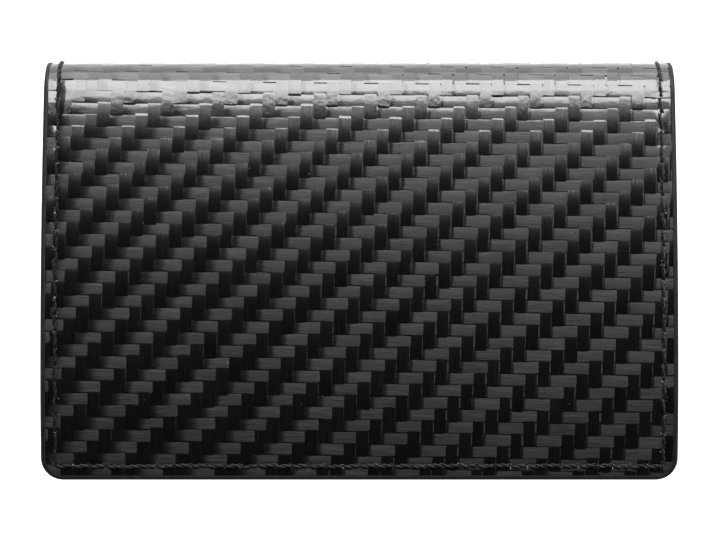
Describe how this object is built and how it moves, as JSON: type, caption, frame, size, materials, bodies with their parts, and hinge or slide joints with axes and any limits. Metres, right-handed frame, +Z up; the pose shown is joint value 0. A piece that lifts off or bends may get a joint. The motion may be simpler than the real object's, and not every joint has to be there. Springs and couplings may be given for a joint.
{
  "type": "folded card wallet",
  "caption": "Slim folded card wallet: two covers with a glossy carbon weave skin joined by a round flexible fold, slip slots in the front and a gusseted pocket in the back.",
  "frame": {"origin": "on the surface that the wallet lies on, under the middle of its outline", "axes": "+X along the fold, +Y towards the fold, +Z up, out of the front cover"},
  "size_m": [0.101, 0.067, 0.0169],
  "materials": {
    "carbon": "glossy clear coat over a woven twill of carbon tows",
    "board": "matt fibre board backing",
    "leather": "fine grained black leather",
    "edge_paint": "satin painted leather edge",
    "thread": "waxed twisted thread",
    "cloth": "fine woven pocket cloth"
  },
  "bodies": {
    "back": {"back_skin": "carbon", "back_backing": "board", "back_lining": "leather", "back_edge": "edge_paint", "back_thread": "thread", "gusset_left": "leather", "gusset_right": "leather"},
    "pocket": {"pocket_panel": "leather", "pocket_lining": "cloth", "pocket_thread": "thread"},
    "fold_1": {"spine_skin_1": "carbon", "spine_backing_1": "board", "spine_lining_1": "leather", "spine_edge_1": "edge_paint", "spine_thread_1": "thread"},
    "fold_2": {"spine_skin_2": "carbon", "spine_backing_2": "board", "spine_lining_2": "leather", "spine_edge_2": "edge_paint", "spine_thread_2": "thread"},
    "front": {"front_skin": "carbon", "front_backing": "board", "front_lining": "leather", "front_edge": "edge_paint", "front_thread": "thread", "slot_rear": "leather", "slot_front": "leather", "slot_thread": "thread"}
  },
  "joints": [
    {"name": "fold_turn_1", "type": "hinge", "parent": "back", "child": "fold_1", "pos_m": [0, 0.03022, 0.00073], "axis": [-1, 0, 0], "range_deg": [-1.3, 55]},
    {"name": "fold_turn_2", "type": "hinge", "parent": "fold_1", "child": "fold_2", "pos_m": [0, 0.03347, 0.00558], "axis": [-1, 0, 0], "range_deg": [-1.3, 55]},
    {"name": "fold_turn_3", "type": "hinge", "parent": "fold_2", "child": "front", "pos_m": [0, 0.03125, 0.01098], "axis": [-1, 0, 0], "range_deg": [-1.3, 55]},
    {"name": "pocket_gape", "type": "hinge", "parent": "back", "child": "pocket", "pos_m": [0, -0.0323, 0.0021], "axis": [1, 0, 0], "range_deg": [0, 4], "deforming": ["gusset_left", "gusset_right"]}
  ],
  "couplings": [
    {"joint": "fold_turn_2", "follows": "fold_turn_1", "ratio": 1},
    {"joint": "fold_turn_3", "follows": "fold_turn_1", "ratio": 1}
  ]
}
